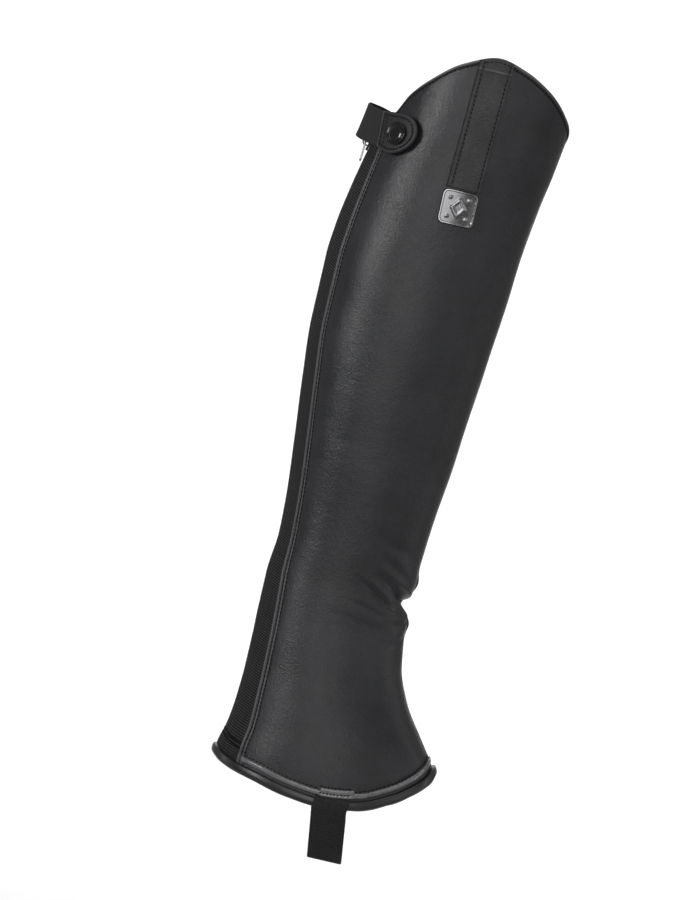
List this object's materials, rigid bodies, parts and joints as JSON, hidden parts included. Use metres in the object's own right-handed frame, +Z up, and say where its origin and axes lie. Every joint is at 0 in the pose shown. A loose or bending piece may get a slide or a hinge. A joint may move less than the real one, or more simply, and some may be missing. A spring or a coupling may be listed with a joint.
{
  "type": "half chap",
  "caption": "Half chap for the right lower leg: a shaped leather panel with a scalloped top, elastic back gusset, back zip, snap tab, rubber hem and stirrup strap.",
  "frame": {"origin": "middle of the calf where the leg is fullest, inside the hollow", "axes": "+Z up along the leg, +X towards the shin, -Y towards the outer side of the right leg"},
  "size_m": [0.1441, 0.1162, 0.5243],
  "materials": {
    "panel_leather": "satin black grain leather",
    "band_leather": "matte black leather",
    "glossy_strip": "glossy black binding strip",
    "elastic": "ribbed black elastic",
    "zip_tape": "woven black zip tape",
    "zip_teeth": "black moulded teeth",
    "black_metal": "glossy black lacquered metal",
    "silver_metal": "polished silver metal",
    "rubber": "smooth black rubber"
  },
  "bodies": {
    "chap": {"leather_panel": "panel_leather", "back_elastic": "elastic", "zip_tape_outer": "zip_tape", "zip_tape_inner": "zip_tape", "zip_chain": "zip_teeth", "zip_box": "zip_teeth", "zip_slider": "black_metal", "tab_elastic": "elastic", "tab_leather": "panel_leather", "snap_cap": "black_metal", "snap_stud": "black_metal", "top_band": "band_leather", "top_patch": "band_leather", "badge": "silver_metal", "hem_strip": "glossy_strip", "hem_rand": "rubber", "stirrup_strap": "elastic"},
    "pull": {"zip_pull": "silver_metal"}
  },
  "joints": [
    {"name": "pull_hinge", "type": "hinge", "parent": "chap", "child": "pull", "pos_m": [-0.05146, 0.00686, 0.07622], "axis": [0.0758, 0.997, -0.0159], "range_deg": [0, 78]}
  ]
}
